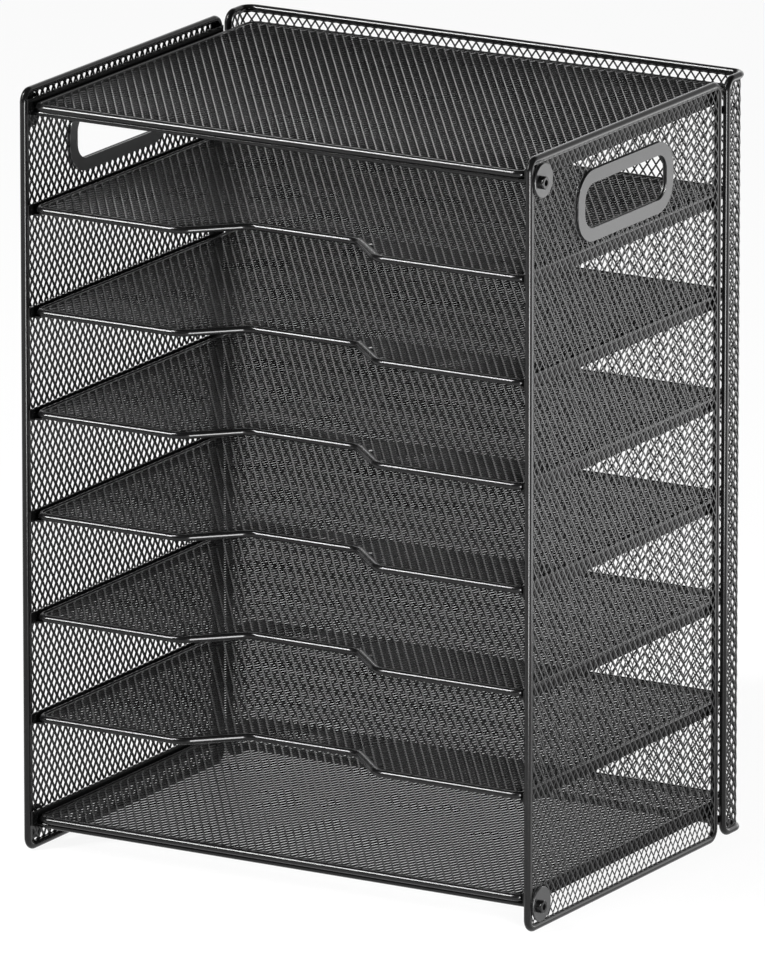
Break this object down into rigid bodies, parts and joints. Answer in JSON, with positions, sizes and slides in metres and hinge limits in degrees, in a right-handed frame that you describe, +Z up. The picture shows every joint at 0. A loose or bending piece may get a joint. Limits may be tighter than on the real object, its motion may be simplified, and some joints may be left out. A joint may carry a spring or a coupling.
{
  "type": "desk file organizer",
  "caption": "Upright desk file organizer of black steel wire and diamond mesh, with slide-out letter trays, fixed top and bottom shelves and a hand slot in each side.",
  "frame": {"origin": "centre of the bounding box on the floor that the organizer stands on", "axes": "+Z up, +Y towards the back panel, -Y towards the open front that trays slide out of, +X to the right as seen from the front"},
  "size_m": [0.3314, 0.244, 0.4371],
  "materials": {
    "wire": "satin black coat",
    "mesh": "satin black coat",
    "hardware": "satin black coat"
  },
  "bodies": {
    "frame": {"side_frame_left": "wire", "side_mesh_left": "mesh", "handle_ring_left_outer": "hardware", "handle_ring_left_inner": "hardware", "corner_plate_left_top": "hardware", "corner_plate_left_bottom": "hardware", "rail_left_top": "hardware", "rail_left_bottom": "hardware", "rail_left_1": "hardware", "rail_left_2": "hardware", "rail_left_3": "hardware", "rail_left_4": "hardware", "rail_left_5": "hardware", "rail_left_6": "hardware", "side_frame_right": "wire", "side_mesh_right": "mesh", "handle_ring_right_outer": "hardware", "handle_ring_right_inner": "hardware", "corner_plate_right_top": "hardware", "corner_plate_right_bottom": "hardware", "rail_right_top": "hardware", "rail_right_bottom": "hardware", "rail_right_1": "hardware", "rail_right_2": "hardware", "rail_right_3": "hardware", "rail_right_4": "hardware", "rail_right_5": "hardware", "rail_right_6": "hardware", "back_frame": "wire", "back_mesh": "mesh", "back_clips": "hardware", "sleeve_nuts": "hardware", "tie_rod_top": "hardware", "tie_rod_bottom": "hardware", "top_shelf_frame": "wire", "top_shelf_mesh": "mesh", "bottom_shelf_frame": "wire", "bottom_shelf_mesh": "mesh"},
    "tray_1": {"tray_1_frame": "wire", "tray_1_mesh": "mesh"},
    "tray_2": {"tray_2_frame": "wire", "tray_2_mesh": "mesh"},
    "tray_3": {"tray_3_frame": "wire", "tray_3_mesh": "mesh"},
    "tray_4": {"tray_4_frame": "wire", "tray_4_mesh": "mesh"},
    "tray_5": {"tray_5_frame": "wire", "tray_5_mesh": "mesh"},
    "tray_6": {"tray_6_frame": "wire", "tray_6_mesh": "mesh"}
  },
  "joints": [
    {"name": "tray_1_slide", "type": "slide", "parent": "frame", "child": "tray_1", "axis": [0, -1, 0], "range_m": [0, 0.13]},
    {"name": "tray_2_slide", "type": "slide", "parent": "frame", "child": "tray_2", "axis": [0, -1, 0], "range_m": [0, 0.13]},
    {"name": "tray_3_slide", "type": "slide", "parent": "frame", "child": "tray_3", "axis": [0, -1, 0], "range_m": [0, 0.13]},
    {"name": "tray_4_slide", "type": "slide", "parent": "frame", "child": "tray_4", "axis": [0, -1, 0], "range_m": [0, 0.13]},
    {"name": "tray_5_slide", "type": "slide", "parent": "frame", "child": "tray_5", "axis": [0, -1, 0], "range_m": [0, 0.13]},
    {"name": "tray_6_slide", "type": "slide", "parent": "frame", "child": "tray_6", "axis": [0, -1, 0], "range_m": [0, 0.13]}
  ]
}
